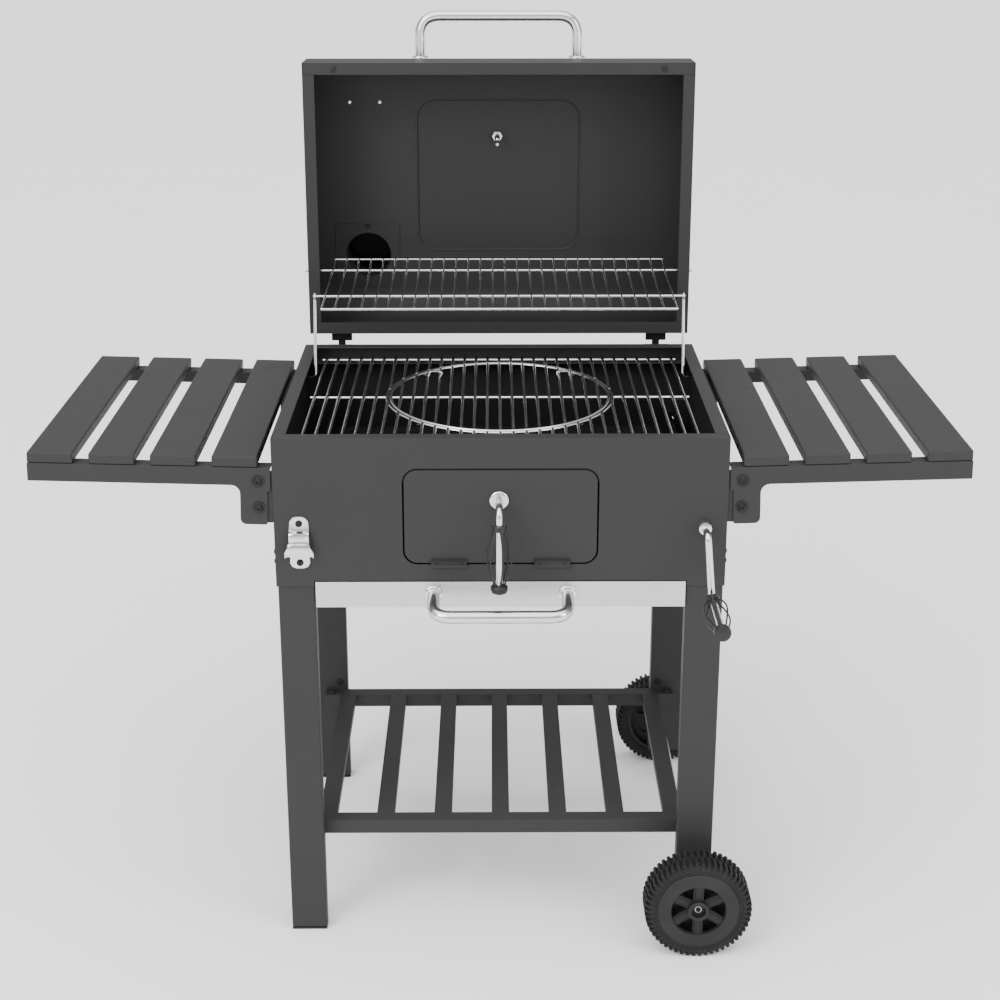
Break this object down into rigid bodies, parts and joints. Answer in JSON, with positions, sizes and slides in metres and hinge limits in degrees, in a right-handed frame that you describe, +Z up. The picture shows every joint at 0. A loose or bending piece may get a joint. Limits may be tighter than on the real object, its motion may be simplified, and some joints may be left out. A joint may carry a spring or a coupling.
{
  "type": "charcoal grill cart",
  "caption": "Charcoal grill cart with hinged lid, crank-raised charcoal tray, cooking grate, warming rack, ash drawer, slatted side tables, bottom shelf and wheels.",
  "frame": {"origin": "middle of the bounding box's underside, on the floor", "axes": "+X towards the wheeled end, +Y from the front door to the lid hinge, +Z up"},
  "size_m": [1.245, 0.8596, 1.2502],
  "materials": {
    "powder_coat": "charcoal-grey powder coat, satin",
    "chrome": "bright chrome plate",
    "steel": "brushed stainless and zinc-plated sheet",
    "black_steel": "heat-proof matt black",
    "black_plastic": "moulded, matt",
    "rubber": "matt ribbed tread"
  },
  "bodies": {
    "frame": {"leg_front_left": "powder_coat", "leg_rear_left": "powder_coat", "leg_front_right": "powder_coat", "leg_rear_right": "powder_coat", "foot_cap_front": "black_plastic", "foot_cap_rear": "black_plastic", "bottom_shelf": "powder_coat", "wheel_axle": "steel", "front_panel": "powder_coat", "rear_panel": "powder_coat", "left_panel": "powder_coat", "right_panel": "powder_coat", "firebox_floor": "powder_coat", "drawer_runner_left": "steel", "drawer_runner_right": "steel", "table_arm_front_left": "powder_coat", "table_arm_rear_left": "powder_coat", "table_arm_front_right": "powder_coat", "table_arm_rear_right": "powder_coat", "table_slat_left_1": "powder_coat", "table_slat_left_2": "powder_coat", "table_slat_left_3": "powder_coat", "table_slat_left_4": "powder_coat", "table_slat_right_1": "powder_coat", "table_slat_right_2": "powder_coat", "table_slat_right_3": "powder_coat", "table_slat_right_4": "powder_coat", "bottle_opener": "steel", "hinge_leaf_left": "black_steel", "hinge_leaf_right": "black_steel"},
    "lid": {"lid_shell": "powder_coat", "lid_cheek_left": "powder_coat", "lid_cheek_right": "powder_coat", "lid_handle": "chrome", "thermometer": "steel", "chimney_pipe": "powder_coat", "lid_hinge_left": "black_steel", "lid_hinge_right": "black_steel"},
    "chimney_cap": {"chimney_cap": "powder_coat"},
    "warming_rack": {"warming_rack": "chrome"},
    "rack_struts": {"rack_strut_left": "chrome", "rack_strut_right": "chrome"},
    "cooking_grate": {"cooking_grate": "chrome"},
    "grate_insert": {"grate_insert": "chrome"},
    "charcoal_tray": {"charcoal_tray": "black_steel"},
    "crank": {"crank": "chrome", "crank_grip": "chrome"},
    "front_door": {"front_door": "powder_coat"},
    "door_handle": {"door_handle": "chrome", "door_grip": "chrome"},
    "ash_drawer": {"drawer_pan": "steel", "drawer_front": "steel", "drawer_handle": "chrome"},
    "wheel_front": {"tyre_front": "rubber", "hub_front": "black_plastic"},
    "wheel_rear": {"tyre_rear": "rubber", "hub_rear": "black_plastic"},
    "vent_shutter_left": {"vent_shutter_left": "steel"},
    "vent_shutter_right": {"vent_shutter_right": "steel"}
  },
  "joints": [
    {"name": "lid_hinge", "type": "hinge", "parent": "frame", "child": "lid", "pos_m": [0, 0.17768, 0.7405], "axis": [-1, 0, 0], "range_deg": [-91.2, 0]},
    {"name": "rack_pivot", "type": "hinge", "parent": "lid", "child": "warming_rack", "pos_m": [0, 0.20418, 0.858], "axis": [-1, 0, 0], "range_deg": [0, 91.2]},
    {"name": "strut_swing", "type": "hinge", "parent": "frame", "child": "rack_struts", "pos_m": [0, 0.04768, 0.7325], "axis": [-1, 0, 0], "range_deg": [-91.2, 0]},
    {"name": "grate_lift", "type": "slide", "parent": "frame", "child": "cooking_grate", "axis": [0, 0, 1], "range_m": [0, 0.03]},
    {"name": "insert_lift", "type": "slide", "parent": "cooking_grate", "child": "grate_insert", "axis": [0, 0, 1], "range_m": [0, 0.06]},
    {"name": "front_door_hinge", "type": "hinge", "parent": "frame", "child": "front_door", "pos_m": [0, -0.28062, 0.57], "axis": [1, 0, 0], "range_deg": [0, 90]},
    {"name": "door_handle_turn", "type": "hinge", "parent": "front_door", "child": "door_handle", "pos_m": [-0.002, -0.29812, 0.663], "axis": [0, 1, 0], "range_deg": [0, 90]},
    {"name": "ash_drawer_slide", "type": "slide", "parent": "frame", "child": "ash_drawer", "axis": [0, 1, 0], "range_m": [-0.33, 0]},
    {"name": "crank_turn", "type": "hinge", "parent": "frame", "child": "crank", "pos_m": [0.271, -0.27782, 0.6266], "axis": [0, 1, 0], "range_deg": [0, 360]},
    {"name": "tray_lift", "type": "slide", "parent": "frame", "child": "charcoal_tray", "axis": [0, 0, 1], "range_m": [0, 0.05]},
    {"name": "wheel_front_spin", "type": "hinge", "parent": "frame", "child": "wheel_front", "pos_m": [0.275, -0.32232, 0.075], "axis": [0, 1, 0], "continuous": true},
    {"name": "wheel_rear_spin", "type": "hinge", "parent": "frame", "child": "wheel_rear", "pos_m": [0.275, 0.20668, 0.075], "axis": [0, 1, 0], "continuous": true},
    {"name": "vent_left_slide", "type": "slide", "parent": "frame", "child": "vent_shutter_left", "axis": [0, 1, 0], "range_m": [0, 0.022]},
    {"name": "vent_right_slide", "type": "slide", "parent": "frame", "child": "vent_shutter_right", "axis": [0, 1, 0], "range_m": [0, 0.022]},
    {"name": "chimney_cap_swivel", "type": "hinge", "parent": "lid", "child": "chimney_cap", "pos_m": [-0.2116, 0.31773, 0.81361], "axis": [0, 0.9999, 0.0147], "range_deg": [0, 90]}
  ],
  "couplings": [
    {"joint": "rack_pivot", "follows": "lid_hinge", "ratio": -1},
    {"joint": "strut_swing", "follows": "lid_hinge", "ratio": 1},
    {"joint": "door_handle_turn", "follows": "front_door_hinge", "ratio": 1},
    {"joint": "tray_lift", "follows": "crank_turn", "m_per_rad": 0.0079577}
  ]
}
